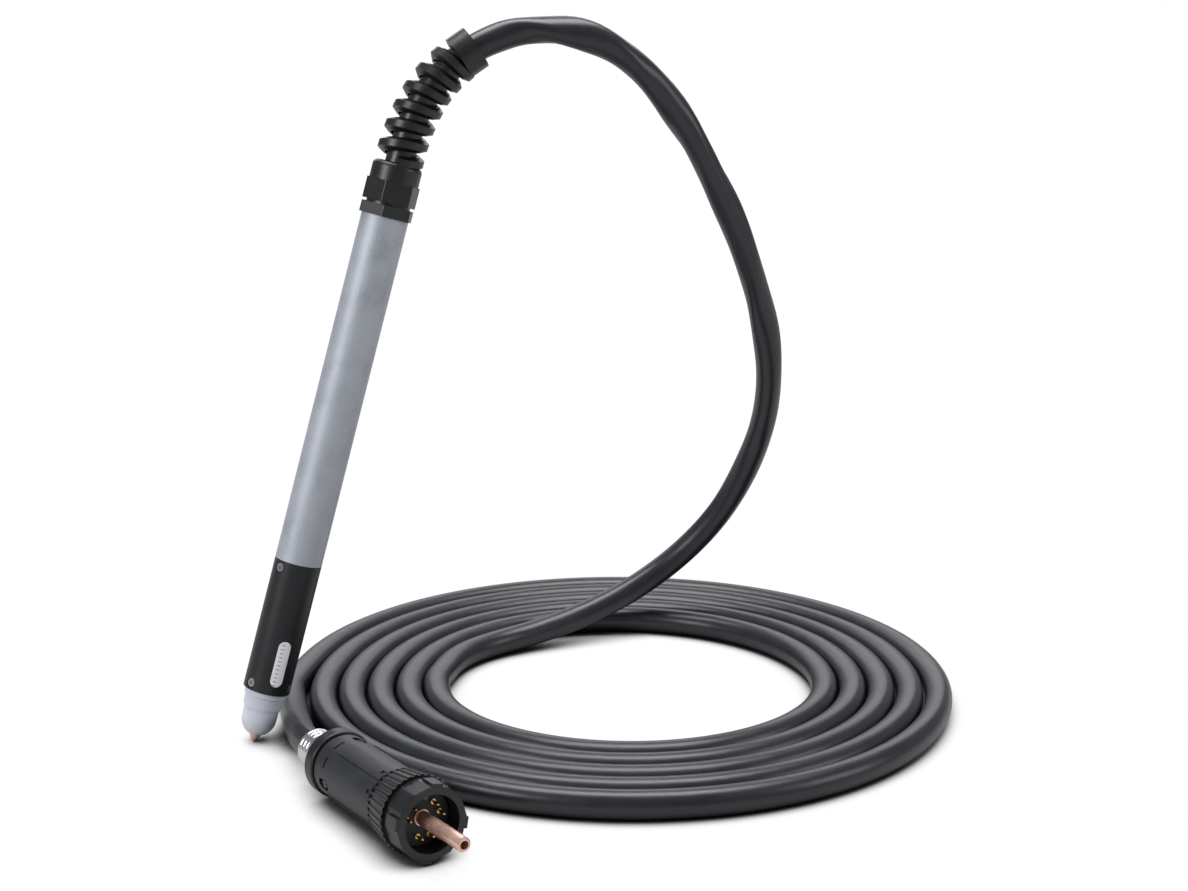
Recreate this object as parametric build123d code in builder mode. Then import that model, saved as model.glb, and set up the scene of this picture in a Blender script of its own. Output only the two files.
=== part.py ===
from build123d import *
from math import cos, pi, radians, sin, sqrt, tan
import os

# Machine plasma torch on its hose: a straight torch stands on its nozzle and leans back,
# the hose arches over from its top and lies in a flat spiral on the floor, and the
# multi-pin plug at the other end lies in front. Millimetres, +Z up, floor at Z = 0.

# Where the torch and the plug stand, seen from the middle of the hose spiral
torch_foot_left = 278.5
torch_foot_front = 97
torch_lean = Vector(0.265, 0.135, 1)
plug_rear_left = 204.5
plug_rear_front = 198.7
plug_rear_height = 25.4
plug_points = Vector(0.55, -0.835, 0.022)

# Clearances
slip_gap = 0.1
running_gap = 0.3

# Torch tube, housing sleeve and its screws
torch_diameter = 35
tube_wall = 1.5
tube_length = 262.5
sleeve_wall = 3
sleeve_length = 100
edge_break = 0.6
screw_count = 3
screw_start_angle = -132
screw_from_end = 5.5
screw_diameter = 4
screw_head_diameter = 6.8
screw_head_height = 1.6
screw_pocket_diameter = 8
screw_pocket_depth = 2.2
screw_key_width = 2.5
screw_key_depth = 1.1
screw_grip = 5
joiner_engagement = 24
joiner_bore = 20.6

# Label plate, let into the sleeve
label_length = 35
label_width = 9.4
label_thickness = 0.35
label_from_end = 7
label_angle = -67

# Nozzle cup
cup_mouth_diameter = 14.6
cup_tip_hole = 11.3
cup_ogive_height = 11.6
cup_barrel_diameter = 26
cup_barrel_height = 6.9
cup_shoulder_height = 2.3
cup_collar_diameter = 28.4
cup_collar_top_diameter = 29.6
cup_collar_height = 8.2
cup_thread_bore = 23.4
cup_floor = 3

# Nozzle tip, swirl ring and electrode
nozzle_end_radius = 2.6
nozzle_cone_angle = 60
nozzle_stem_diameter = 10.7
nozzle_proud = 7
nozzle_flange_diameter = 18.6
nozzle_flange_height = 2.5
nozzle_body_diameter = 15
nozzle_body_height = 10.2
nozzle_bore = 10
nozzle_bore_floor = 7
orifice_diameter = 1.2
electrode_nose_diameter = 6.8
electrode_tip_gap = 1.2
electrode_flange_diameter = 9
electrode_flange_height = 3
electrode_stem_diameter = 6
electrode_stem_length = 11
emitter_diameter = 1.6
emitter_length = 3
swirl_ring_diameter = 17.2
swirl_ring_bore = 9.6
swirl_ring_height = 7
swirl_hole_diameter = 1.2
swirl_hole_count = 6

# Torch head
head_band_diameter = 31
head_band_height = 4.2
head_body_height = 25.5
head_bore = 14
o_ring_section = 1.6
insert_length = 36
insert_hex_height = 6
nipple_diameter = 9
nipple_length = 14
insert_gas_bore = 5
lead_diameter = 13
crimp_wall = 0.9
crimp_length = 12
wire_diameter = 2.4
wire_count = 3
wire_radius = 8.7
wire_socket_depth = 6
wire_start_angle = -72

# Cable gland, its nut and the spiral bend guard
gland_engagement = 20
flange_across_corners = 42.5
flange_height = 8.3
flange_turn = -92.5
neck_gap = 2
neck_diameter = 32.6
gland_thread_diameter = 30.8
gland_thread_height = 11
nut_across_corners = 41
nut_hex_height = 15.6
nut_turn = -101.7
nut_thread_bore = 31.4
nut_wall_top = 5
dome_diameter = 36.7
dome_height = 14
dome_round = 4
seal_height = 12
seal_thickness = 3.9
guard_bore = 24
guard_diameter = 36
guard_pitch = 13.9
guard_turns = 6.45
guard_band_width = 9.8
guard_band_edge = 5
guard_bevel_depth = 4
guard_taper = 0.05
guard_collar_diameter = 33
guard_collar_length = 15
guard_steps_per_turn = 12

# Hose, its spiral on the floor and the points of its free route
hose_diameter = 21
hose_below_seal = 5
hose_above_dome = 23.35
coil_radius = 258
coil_pitch = 22.2
coil_turns = 5
coil_edge_round = 8
run_share = 0.45

# Plug body and rear cap
cap_above_shell = 1.6
cap_length = 11
cap_wall = 4
cap_groove_depth = 0.9
cap_groove_width = 2
shell_diameter = 44.8
shell_length = 84
shell_wall = 3.2
panel_height = 0.9
panel_angle = 29
panel_spacing = 40
panel_start = 30
panel_end = 93
slot_from_cap = 12
slot_width = 1.6
slot_length = 9
slot_depth = 1.4
recess_length = 13
recess_width = 8
recess_depth = 2.4
recess_from_cap = 13
shell_screw_diameter = 3
shell_screw_head = 5.4
barrel_diameter = 39.6
barrel_bore = 33
notch_width = 3
notch_length = 5
first_recess = 72

# Ribbed steel strain ferrule behind the cap
ferrule_length = 31
ferrule_diameter = 29
ferrule_ribs = 7
rib_height = 1.3

# Hose clamp inside the shell
clamp_start = 5
clamp_length = 11
clamp_thickness = 3
clamp_ear_width = 8

# Coupling nut
nut_rear_diameter = 48.6
nut_rear_rim = 0.6
nut_rim_at = 120
nut_rim_diameter = 55
nut_groove_width = 3
nut_groove_diameter = 50
nut_front = 140
nut_front_diameter = 51
nut_mouth = 40
nut_flutes = 36
flute_diameter = 3.4
flute_depth = 0.9
nut_facets = 12
facet_depth = 0.7
lug_height = 1.4
lug_width = 8
lug_start_angle = -11
lug_length = 13
lug_count = 4
clip_at = 100
clip_width = 1.6
clip_diameter = 43
clip_gap_angle = 30

# Insulator and contacts
insulator_face = 126
insulator_flange = 8
insulator_rear = 90
insulator_diameter = 38.8
pin_circle = 25
pin_diameter = 2
pin_depth = 14
pin_proud = 8
pin_sleeve_diameter = 3.6
pin_sleeve_depth = 4
pin_sleeve_proud = 1
pin_pair_half_angle = 20
pin_pairs = 3
pin_pair_start = 30
key_post_diameter = 4.4
key_post_depth = 6
key_post_proud = 7
key_post_circle = 33
key_post_angles = (92, 306)
current_pin_diameter = 10
current_pin_shank = 11.2
current_pin_bore = 6
current_pin_end = 181
current_pin_collar = 16
current_pin_collar_length = 6
current_pin_tail = 18
plug_hose_end = 24

# The torch's own frame: Z runs up its axis from the nozzle's end, which touches the floor
torch_axis = torch_lean.normalized()
torch_foot = Vector(-torch_foot_left, -torch_foot_front, 0)
torch_start = torch_foot + (torch_lean - torch_axis) * nozzle_end_radius
torch_side = Vector(0, 1, 0).cross(torch_axis)
torch_plane = Plane(origin=torch_start, x_dir=torch_side, z_dir=torch_axis)

# The plug's own frame: Z runs from the rear of its cap to its mouth
plug_axis = plug_points.normalized()
plug_rear_at = Vector(-plug_rear_left, -plug_rear_front, plug_rear_height)
plug_plane = Plane(origin=plug_rear_at, x_dir=Vector(0, 0, 1).cross(plug_axis), z_dir=plug_axis)

# Heights along the torch, from the nozzle's end
cup_bottom = nozzle_proud
barrel_bottom = cup_bottom + cup_ogive_height
shoulder_bottom = barrel_bottom + cup_barrel_height
collar_bottom = shoulder_bottom + cup_shoulder_height
cup_top = collar_bottom + cup_collar_height
band_bottom = cup_top + running_gap
sleeve_bottom = band_bottom + head_band_height
sleeve_top = sleeve_bottom + sleeve_length
tube_top = sleeve_top + tube_length
flange_top = tube_top + flange_height
nut_bottom = flange_top + neck_gap
nut_hex_top = nut_bottom + nut_hex_height
dome_top = nut_hex_top + dome_height
seal_bottom = nut_bottom + gland_thread_height
hose_inlet = seal_bottom - hose_below_seal
sleeve_bore = torch_diameter - 2 * sleeve_wall
tube_bore = torch_diameter - 2 * tube_wall
hose_radius = hose_diameter / 2


def radial_planes(radius, height, count, start_angle):
    """Planes on a cylinder about Z, each facing outwards."""
    planes = []
    for index in range(count):
        angle = radians(start_angle + 360 / count * index)
        out = Vector(cos(angle), sin(angle), 0)
        planes.append(Plane(origin=out * radius + Vector(0, 0, height), x_dir=(0, 0, 1), z_dir=out))
    return planes


def fillet_radii(points):
    """Largest arcs that the runs beside each corner leave room for."""
    found = []
    for before, corner, after in zip(points, points[1:], points[2:]):
        first = corner - before
        second = after - corner
        half_turn = radians(first.get_angle(second) / 2)
        found.append(run_share * min(first.length, second.length) / tan(half_turn))
    return found


def check_tube(name, points, radii, solid):
    """Print the bends of a tube, its length, and its volume beside section times length."""
    with BuildLine() as path:
        FilletPolyline(*points, radius=radii)
    length = path.wires()[0].length
    expected = pi * hose_radius**2 * length
    print(name, "length", round(length, 1), "volume ratio", round(solid.volume / expected, 4))
    print(name, "arc radii", [round(value) for value in radii])


# Nozzle tip: turned copper, round nosed, with its fine orifice and a seating flange
flange_bottom = cup_bottom + cup_floor + running_gap
nozzle_top = flange_bottom + nozzle_flange_height + nozzle_body_height
cone = radians(nozzle_cone_angle)
nose_edge = (nozzle_end_radius * sin(cone), nozzle_end_radius * (1 - cos(cone)))
cone_top = nose_edge[1] + (nozzle_stem_diameter / 2 - nose_edge[0]) * tan(cone)
orifice_radius = orifice_diameter / 2
orifice_bottom = nozzle_end_radius - sqrt(nozzle_end_radius**2 - orifice_radius**2)
half_cone = radians(nozzle_cone_angle / 2)
nose_middle = (nozzle_end_radius * sin(half_cone), nozzle_end_radius * (1 - cos(half_cone)))
bore_cone_bottom = nozzle_bore_floor - (nozzle_bore / 2 - orifice_radius) / tan(cone)
with BuildPart() as nozzle_tip:
    with BuildSketch(Plane.XZ):
        with BuildLine():
            ThreePointArc((orifice_radius, orifice_bottom), nose_middle, nose_edge)
            Polyline(
                nose_edge,
                (nozzle_stem_diameter / 2, cone_top),
                (nozzle_stem_diameter / 2, flange_bottom),
                (nozzle_flange_diameter / 2, flange_bottom),
                (nozzle_flange_diameter / 2, flange_bottom + nozzle_flange_height),
                (nozzle_body_diameter / 2, flange_bottom + nozzle_flange_height),
                (nozzle_body_diameter / 2, nozzle_top),
                (nozzle_bore / 2, nozzle_top),
                (nozzle_bore / 2, nozzle_bore_floor),
                (orifice_radius, bore_cone_bottom),
                (orifice_radius, orifice_bottom),
            )
        make_face()
    revolve(axis=Axis.Z)
nozzle_tip.part.label = "nozzle_tip"

# Swirl ring: insulating ring with small gas holes, between the nozzle and the head
swirl_top = nozzle_top + swirl_ring_height
with BuildPart() as swirl_ring:
    with BuildSketch(Plane.XY.offset(nozzle_top)):
        Circle(swirl_ring_diameter / 2)
        Circle(swirl_ring_bore / 2, mode=Mode.SUBTRACT)
    extrude(amount=swirl_ring_height)
    middle = nozzle_top + swirl_ring_height / 2
    with BuildSketch(*radial_planes(swirl_ring_bore / 4, middle, swirl_hole_count, 0)):
        Circle(swirl_hole_diameter / 2)
    extrude(amount=swirl_ring_diameter / 2, mode=Mode.SUBTRACT)
swirl_ring.part.label = "swirl_ring"

# Electrode: turned copper, with a blind hole in its nose for the emitter
electrode_bottom = nozzle_bore_floor + electrode_tip_gap
electrode_flange_bottom = swirl_top - electrode_flange_height
electrode_top = swirl_top + electrode_stem_length
with BuildPart() as electrode:
    with BuildSketch(Plane.XY.offset(electrode_bottom)):
        Circle(electrode_nose_diameter / 2)
    extrude(amount=electrode_flange_bottom - electrode_bottom)
    chamfer(electrode.edges().group_by(Axis.Z)[0], length=1)
    with BuildSketch(Plane.XY.offset(electrode_flange_bottom)):
        Circle(electrode_flange_diameter / 2)
    extrude(amount=electrode_flange_height)
    with BuildSketch(Plane.XY.offset(swirl_top)):
        Circle(electrode_stem_diameter / 2)
    extrude(amount=electrode_stem_length)
    with BuildSketch(Plane.XY.offset(electrode_bottom)):
        Circle(emitter_diameter / 2)
    extrude(amount=emitter_length, mode=Mode.SUBTRACT)
electrode.part.label = "electrode"

# Emitter: the hafnium slug pressed into the electrode's nose
with BuildPart() as emitter:
    with BuildSketch(Plane.XY.offset(electrode_bottom)):
        Circle(emitter_diameter / 2)
    extrude(amount=emitter_length)
emitter.part.label = "emitter"

# Outside nozzle: the moulded cup, an ogive with a wider threaded collar above it
cup_inner_floor = cup_bottom + cup_floor
flange_room = nozzle_flange_diameter / 2 + running_gap
thread_bottom = nozzle_top - running_gap
with BuildPart() as outside_nozzle:
    with BuildSketch(Plane.XZ):
        with BuildLine():
            TangentArc(
                (cup_barrel_diameter / 2, barrel_bottom),
                (cup_mouth_diameter / 2, cup_bottom),
                tangent=(0, -1),
            )
            Polyline(
                (cup_mouth_diameter / 2, cup_bottom),
                (cup_tip_hole / 2, cup_bottom),
                (cup_tip_hole / 2, cup_inner_floor),
                (flange_room, cup_inner_floor),
                (flange_room, thread_bottom),
                (cup_thread_bore / 2, thread_bottom),
                (cup_thread_bore / 2, cup_top),
                (cup_collar_top_diameter / 2, cup_top),
                (cup_collar_diameter / 2, collar_bottom),
                (cup_barrel_diameter / 2, shoulder_bottom),
                (cup_barrel_diameter / 2, barrel_bottom),
            )
        make_face()
    revolve(axis=Axis.Z)
    fillet(outside_nozzle.edges().group_by(Axis.Z)[-1].sort_by(SortBy.RADIUS)[-1], radius=0.5)
outside_nozzle.part.label = "outside_nozzle"

# Head body: moulded, with the cup's spigot below, the thin band and the part in the sleeve
spigot_diameter = cup_thread_bore - 2 * running_gap
o_ring_height = (swirl_top + band_bottom) / 2
head_top = sleeve_bottom + head_body_height
with BuildPart() as head_body:
    with BuildSketch(Plane.XY.offset(swirl_top)):
        Circle(spigot_diameter / 2)
    extrude(amount=band_bottom - swirl_top)
    with BuildSketch(Plane.XY.offset(band_bottom)):
        Circle(head_band_diameter / 2)
    extrude(amount=head_band_height)
    with BuildSketch(Plane.XY.offset(sleeve_bottom)):
        Circle(sleeve_bore / 2 - slip_gap)
    extrude(amount=head_body_height)
    with BuildSketch(Plane.XY.offset(swirl_top)):
        Circle(head_bore / 2)
    extrude(amount=head_top - swirl_top, mode=Mode.SUBTRACT)
    with BuildSketch(Plane.XY.offset(o_ring_height - o_ring_section / 2)):
        Circle(spigot_diameter)
        Circle(spigot_diameter / 2 + running_gap / 2 - o_ring_section, mode=Mode.SUBTRACT)
    extrude(amount=o_ring_section, mode=Mode.SUBTRACT)
    with BuildSketch(Plane.XY.offset(head_top)):
        with PolarLocations(wire_radius, wire_count, start_angle=wire_start_angle):
            Circle(wire_diameter / 2)
    extrude(amount=-wire_socket_depth, mode=Mode.SUBTRACT)
    lower_screws = sleeve_bottom + screw_from_end
    with Locations(*radial_planes(sleeve_bore / 2, lower_screws, screw_count, screw_start_angle)):
        Hole(screw_diameter / 2, depth=screw_grip)
head_body.part.label = "head_body"

# O-ring between the cup and the spigot
with BuildPart() as head_o_ring:
    ring_radius = spigot_diameter / 2 + running_gap / 2 - o_ring_section / 2
    with BuildSketch(Plane.XZ):
        with Locations((ring_radius, o_ring_height)):
            Circle(o_ring_section / 2)
    revolve(axis=Axis.Z)
head_o_ring.part.label = "head_o_ring"

# Head insert: brass core that feeds gas and current to the electrode
insert_top = swirl_top + insert_length
with BuildPart() as head_insert:
    with BuildSketch(Plane.XY.offset(swirl_top)):
        Circle(head_bore / 2)
    extrude(amount=insert_length)
    with BuildSketch(Plane.XY.offset(insert_top)):
        RegularPolygon(head_bore / 2, 6)
    extrude(amount=insert_hex_height)
    with BuildSketch(Plane.XY.offset(insert_top + insert_hex_height)):
        Circle(nipple_diameter / 2)
    extrude(amount=nipple_length)
    with BuildSketch(Plane.XY.offset(swirl_top)):
        Circle(electrode_stem_diameter / 2)
    extrude(amount=electrode_stem_length, mode=Mode.SUBTRACT)
    with BuildSketch(Plane.XY.offset(electrode_top)):
        Circle(insert_gas_bore / 2)
    extrude(amount=insert_length + insert_hex_height + nipple_length, mode=Mode.SUBTRACT)
head_insert.part.label = "head_insert"

# Power and gas lead inside the tube, with the crimp that holds it on the nipple
lead_bottom = insert_top + insert_hex_height
with BuildPart() as power_lead:
    with BuildSketch(Plane.XY.offset(lead_bottom)):
        Circle(lead_diameter / 2)
        Circle(nipple_diameter / 2, mode=Mode.SUBTRACT)
    extrude(amount=hose_inlet - lead_bottom)
power_lead.part.label = "power_lead"

with BuildPart() as lead_crimp:
    with BuildSketch(Plane.XY.offset(lead_bottom + slip_gap)):
        Circle(lead_diameter / 2 + crimp_wall)
        Circle(lead_diameter / 2, mode=Mode.SUBTRACT)
    extrude(amount=crimp_length)
lead_crimp.part.label = "lead_crimp"

# Pilot and sensing wires beside the lead, from their sockets in the head
with BuildPart() as pilot_wires:
    with BuildSketch(Plane.XY.offset(head_top - wire_socket_depth)):
        with PolarLocations(wire_radius, wire_count, start_angle=wire_start_angle):
            Circle(wire_diameter / 2)
    extrude(amount=hose_inlet - head_top + wire_socket_depth)
pilot_wires.part.label = "pilot_wires"

# Room that the label plate is let into, with a hair of clearance all round
label_middle = sleeve_bottom + label_from_end + label_length / 2
label_plane = radial_planes(torch_diameter / 2, label_middle, 1, label_angle)[0]
with BuildPart() as label_room:
    with BuildSketch(Plane.XY.offset(sleeve_bottom)):
        Circle(torch_diameter / 2 + label_thickness)
        Circle(torch_diameter / 2 - label_thickness, mode=Mode.SUBTRACT)
    extrude(amount=sleeve_length)
    with BuildSketch(label_plane.offset(-sleeve_wall)):
        SlotOverall(label_length + 2 * slip_gap, label_width + 2 * slip_gap)
    extrude(amount=2 * sleeve_wall, mode=Mode.INTERSECT)

# Head sleeve: the black housing, with pockets for its six screws and the label plate's room
upper_screws = sleeve_top - screw_from_end
with BuildPart() as head_sleeve:
    with BuildSketch(Plane.XY.offset(sleeve_bottom)):
        Circle(torch_diameter / 2)
        Circle(sleeve_bore / 2, mode=Mode.SUBTRACT)
    extrude(amount=sleeve_length)
    rims = head_sleeve.edges().filter_by(GeomType.CIRCLE).sort_by(SortBy.RADIUS)[-2:]
    chamfer(rims, length=edge_break)
    for height in (lower_screws, upper_screws):
        planes = radial_planes(torch_diameter / 2, height, screw_count, screw_start_angle)
        with Locations(*planes):
            CounterBoreHole(
                radius=screw_diameter / 2,
                counter_bore_radius=screw_pocket_diameter / 2,
                counter_bore_depth=screw_pocket_depth,
                depth=sleeve_wall * 2,
            )
    add(label_room.part, mode=Mode.SUBTRACT)
head_sleeve.part.label = "head_sleeve"

# Sleeve screws: six button heads with hexagon sockets
head_seat = torch_diameter / 2 - screw_pocket_depth
with BuildPart() as sleeve_screws:
    for height in (lower_screws, upper_screws):
        with BuildSketch(*radial_planes(head_seat, height, screw_count, screw_start_angle)):
            Circle(screw_head_diameter / 2)
        extrude(amount=screw_head_height)
        with BuildSketch(*radial_planes(head_seat, height, screw_count, screw_start_angle)):
            Circle(screw_diameter / 2)
        extrude(amount=-(head_seat - sleeve_bore / 2 + screw_grip))
        sockets = radial_planes(head_seat + screw_head_height, height, screw_count, screw_start_angle)
        with BuildSketch(*sockets):
            RegularPolygon(screw_key_width / 2, 6, major_radius=False)
        extrude(amount=-screw_key_depth, mode=Mode.SUBTRACT)
sleeve_screws.part.label = "sleeve_screws"

# Label plate: a thin strip with round ends, curved to lie flush in the sleeve
with BuildPart() as label_plate:
    with BuildSketch(Plane.XY.offset(sleeve_bottom)):
        Circle(torch_diameter / 2)
        Circle(torch_diameter / 2 - label_thickness, mode=Mode.SUBTRACT)
    extrude(amount=sleeve_length)
    with BuildSketch(label_plane.offset(-sleeve_wall)):
        SlotOverall(label_length, label_width)
    extrude(amount=2 * sleeve_wall, mode=Mode.INTERSECT)
label_plate.part.label = "label_plate"

# Tube joiner: the turned plug that the sleeve and the tube both push on to
with BuildPart() as tube_joiner:
    with BuildSketch(Plane.XY.offset(sleeve_top - joiner_engagement)):
        Circle(sleeve_bore / 2 - slip_gap)
    extrude(amount=joiner_engagement)
    with BuildSketch(Plane.XY.offset(sleeve_top)):
        Circle(tube_bore / 2 - slip_gap)
    extrude(amount=joiner_engagement)
    with BuildSketch(Plane.XY.offset(sleeve_top - joiner_engagement)):
        Circle(joiner_bore / 2)
    extrude(amount=2 * joiner_engagement, mode=Mode.SUBTRACT)
    with Locations(*radial_planes(sleeve_bore / 2, upper_screws, screw_count, screw_start_angle)):
        Hole(screw_diameter / 2, depth=screw_grip)
tube_joiner.part.label = "tube_joiner"

# Torch tube: the satin grey barrel that the machine's clamp holds
with BuildPart() as torch_tube:
    with BuildSketch(Plane.XY.offset(sleeve_top)):
        Circle(torch_diameter / 2)
        Circle(tube_bore / 2, mode=Mode.SUBTRACT)
    extrude(amount=tube_length)
torch_tube.part.label = "torch_tube"

# Gland body: spigot in the tube, hexagon flange, neck and the threaded cage for the seal
gland_thread_top = seal_bottom + seal_height / 2
with BuildPart() as gland_body:
    with BuildSketch(Plane.XY.offset(tube_top - gland_engagement)):
        Circle(tube_bore / 2 - slip_gap)
    extrude(amount=gland_engagement)
    with BuildSketch(Plane.XY.offset(tube_top)):
        RegularPolygon(flange_across_corners / 2, 6, rotation=flange_turn)
    extrude(amount=flange_height)
    flange_edges = gland_body.edges().filter_by(Axis.Z).sort_by(SortBy.LENGTH)
    fillet([e for e in flange_edges if abs(e.length - flange_height) < slip_gap], radius=1.5)
    with BuildSketch(Plane.XY.offset(flange_top)):
        Circle(neck_diameter / 2)
    extrude(amount=neck_gap)
    with BuildSketch(Plane.XY.offset(nut_bottom)):
        Circle(gland_thread_diameter / 2)
    extrude(amount=gland_thread_top - nut_bottom)
    with BuildSketch(Plane.XY.offset(tube_top - gland_engagement)):
        Circle(hose_radius + slip_gap)
    extrude(amount=gland_thread_top - tube_top + gland_engagement, mode=Mode.SUBTRACT)
    with BuildSketch(Plane.XY.offset(seal_bottom)):
        Circle(hose_radius + seal_thickness)
    extrude(amount=gland_thread_top - seal_bottom, mode=Mode.SUBTRACT)
gland_body.part.label = "gland_body"

# Gland seal: the rubber bush that grips the hose when the nut is tightened
with BuildPart() as gland_seal:
    with BuildSketch(Plane.XY.offset(seal_bottom)):
        Circle(hose_radius + seal_thickness)
        Circle(hose_radius, mode=Mode.SUBTRACT)
    extrude(amount=seal_height)
    chamfer(gland_seal.edges().group_by(Axis.Z)[-1].sort_by(SortBy.RADIUS)[-1], length=2)
gland_seal.part.label = "gland_seal"

# The free route of the hose, torch first: two points on the torch's axis and the top of the
# arch, which both go with the torch, then the way down to the spiral
arch_start = torch_start + torch_axis * (dome_top + hose_above_dome)
arc_route = [
    torch_start + torch_axis * hose_inlet,
    arch_start,
    arch_start + Vector(19, 5.7, 36),
    arch_start + Vector(54, 12.7, 64.5),
    arch_start + Vector(98.5, 22.7, 75),
    arch_start + Vector(144.5, 33.7, 65),
    Vector(22.5, 10.5, 480.5),
    Vector(49.5, 24, 440.5),
    Vector(71, 38, 400),
    Vector(90, 53, 358),
    Vector(105, 69, 315),
    Vector(116, 87, 272),
    Vector(120, 107, 229),
    Vector(116, 128, 187),
    Vector(103, 146, 145),
    Vector(82, 158, 104),
    Vector(50, 162, 68),
    Vector(10, 151, 41),
    Vector(-31, 135, 24),
    Vector(-71, 118, 14),
    Vector(-105, 99, 10.5),
    Vector(-126, 77, 10.5),
    Vector(-139, 52, 10.5),
    Vector(-145, 25, 10.5),
    Vector(-145, 0, 10.5),
]

# The hose from the outside of the spiral to the plug; its last run lies on the plug's axis
tail_route = [
    Vector(-258, 0, 10.5),
    Vector(-258, -34, 10.5),
    Vector(-251.5, -67, 12),
    Vector(-245, -100, 15.5),
    Vector(-238, -130, 19.5),
    plug_rear_at - plug_axis * 46,
    plug_rear_at + plug_axis * plug_hose_end,
]
inner_end_shift = 2

# Gland nut with its bend guard: a hexagon, a dome, then a bevelled band wound round the
# bending hose, and a collar at the end. The band is carried along the same bent axis as the hose.
with BuildLine() as guard_line:
    guard_points = [torch_plane.to_local_coords(point) for point in arc_route[:5]]
    FilletPolyline(*guard_points, radius=fillet_radii(guard_points))
guard_path = guard_line.wires()[0]


def guard_frame(distance):
    """Point, forward direction and two side directions at a distance along the hose."""
    fraction = distance / guard_path.length
    forward = guard_path.tangent_at(fraction)
    front = (Vector(0, -1, 0) + forward * forward.Y).normalized()
    return guard_path.position_at(fraction), forward, front, front.cross(forward)


band_half = guard_band_width / 2
edge_half = guard_band_edge / 2
bevel_radius = guard_diameter / 2 - guard_bevel_depth
band_profile = [
    (guard_bore / 2, -band_half),
    (bevel_radius, -band_half),
    (guard_diameter / 2, -edge_half),
    (guard_diameter / 2, edge_half),
    (bevel_radius, band_half),
    (guard_bore / 2, band_half),
]
band_start = dome_top - hose_inlet
band_steps = round(guard_turns * guard_steps_per_turn)
band_edges = []
for radius, across in band_profile:
    points = []
    for step in range(band_steps + 1):
        turns = step / guard_steps_per_turn
        point, forward, front, side = guard_frame(band_start + turns * guard_pitch)
        reach = radius * (1 - guard_taper * step / band_steps)
        spoke = front * cos(2 * pi * turns) - side * sin(2 * pi * turns)
        points.append(point + spoke * reach + forward * across)
    band_edges.append(Edge.make_spline(points))
band_faces = [
    Face.make_surface_from_curves(edge, after)
    for edge, after in zip(band_edges, band_edges[1:] + band_edges[:1])
]
for end in (0, 1):
    outline = Wire.make_polygon([edge.position_at(end) for edge in band_edges], close=True)
    band_faces.append(Face(outline))
guard_band = Solid(Shell(band_faces))

collar_middle = band_start + band_steps / guard_steps_per_turn * guard_pitch + guard_collar_length / 2
collar_point, collar_forward, collar_front, collar_side = guard_frame(collar_middle)
collar_plane = Plane(origin=collar_point, x_dir=collar_front, z_dir=collar_forward)
seal_top = seal_bottom + seal_height
with BuildPart() as gland_nut:
    with BuildSketch(Plane.XY.offset(nut_bottom)):
        RegularPolygon(nut_across_corners / 2, 6, rotation=nut_turn)
    extrude(amount=nut_hex_height)
    fillet(gland_nut.edges().filter_by(Axis.Z), radius=1.5)
    with BuildSketch(Plane.XY.offset(nut_hex_top)):
        Circle(dome_diameter / 2)
    extrude(amount=dome_height)
    fillet(gland_nut.edges().group_by(Axis.Z)[-1], radius=dome_round)
    with BuildSketch(Plane.XY.offset(nut_bottom)):
        Circle(nut_thread_bore / 2)
    extrude(amount=seal_top - nut_bottom, mode=Mode.SUBTRACT)
    with BuildSketch(Plane.XY.offset(seal_top)):
        Circle(guard_bore / 2)
    extrude(amount=dome_top - seal_top, mode=Mode.SUBTRACT)
    add(guard_band)
    with BuildSketch(collar_plane):
        Circle(guard_collar_diameter / 2)
        Circle(guard_bore / 2, mode=Mode.SUBTRACT)
    extrude(amount=guard_collar_length / 2, both=True)
gland_nut.part.label = "gland_nut"

# Free part of the hose, from inside the gland over to the inner turn of the spiral
arc_radii = fillet_radii(arc_route)
with BuildPart() as hose_arc:
    with BuildLine():
        FilletPolyline(*arc_route, radius=arc_radii)
    with BuildSketch(Plane(origin=arc_route[0], z_dir=torch_axis)):
        Circle(hose_radius)
    sweep()
hose_arc.part.label = "hose_arc"

# Hose spiral on the floor: the closed outer shape of its turns, wound from two half circles
# a turn, with a step where its outer and inner ends leave
quarter = coil_pitch / 4
outer_back = coil_radius - quarter + hose_radius
outer_front = coil_radius - 3 * quarter + hose_radius
inner_back = coil_radius - (coil_turns - 1) * coil_pitch - quarter - hose_radius
inner_front = inner_back - 2 * quarter
with BuildPart() as hose_coil:
    with BuildSketch():
        with BuildLine():
            right_end = (outer_back - quarter, 0)
            outer_step = (quarter - outer_front, 0)
            ThreePointArc((-outer_back - quarter, 0), (-quarter, outer_back), right_end)
            ThreePointArc(right_end, (quarter, -outer_front), outer_step)
            Line(outer_step, (-outer_back - quarter, 0))
        make_face()
        with BuildLine():
            inner_right = (inner_back - quarter, 0)
            inner_step = (quarter - inner_front + inner_end_shift, 0)
            middle = (inner_right[0] + inner_step[0]) / 2
            low = middle - inner_right[0]
            ThreePointArc((-inner_back - quarter, 0), (-quarter, inner_back), inner_right)
            ThreePointArc(inner_right, (middle, low), inner_step)
            Line(inner_step, (-inner_back - quarter, 0))
        make_face(mode=Mode.SUBTRACT)
    extrude(amount=hose_diameter)
    rims = hose_coil.edges().group_by(Axis.Z)
    fillet([e for e in rims[0] + rims[-1] if e.geom_type == GeomType.CIRCLE], radius=coil_edge_round)
hose_coil.part.label = "hose_coil"

# Hose tail, from the outer turn of the spiral into the plug
tail_radii = fillet_radii(tail_route)
with BuildPart() as hose_tail:
    with BuildLine():
        FilletPolyline(*tail_route, radius=tail_radii)
    with BuildSketch(Plane(origin=tail_route[0], z_dir=(0, -1, 0))):
        Circle(hose_radius)
    sweep()
hose_tail.part.label = "hose_tail"

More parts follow.
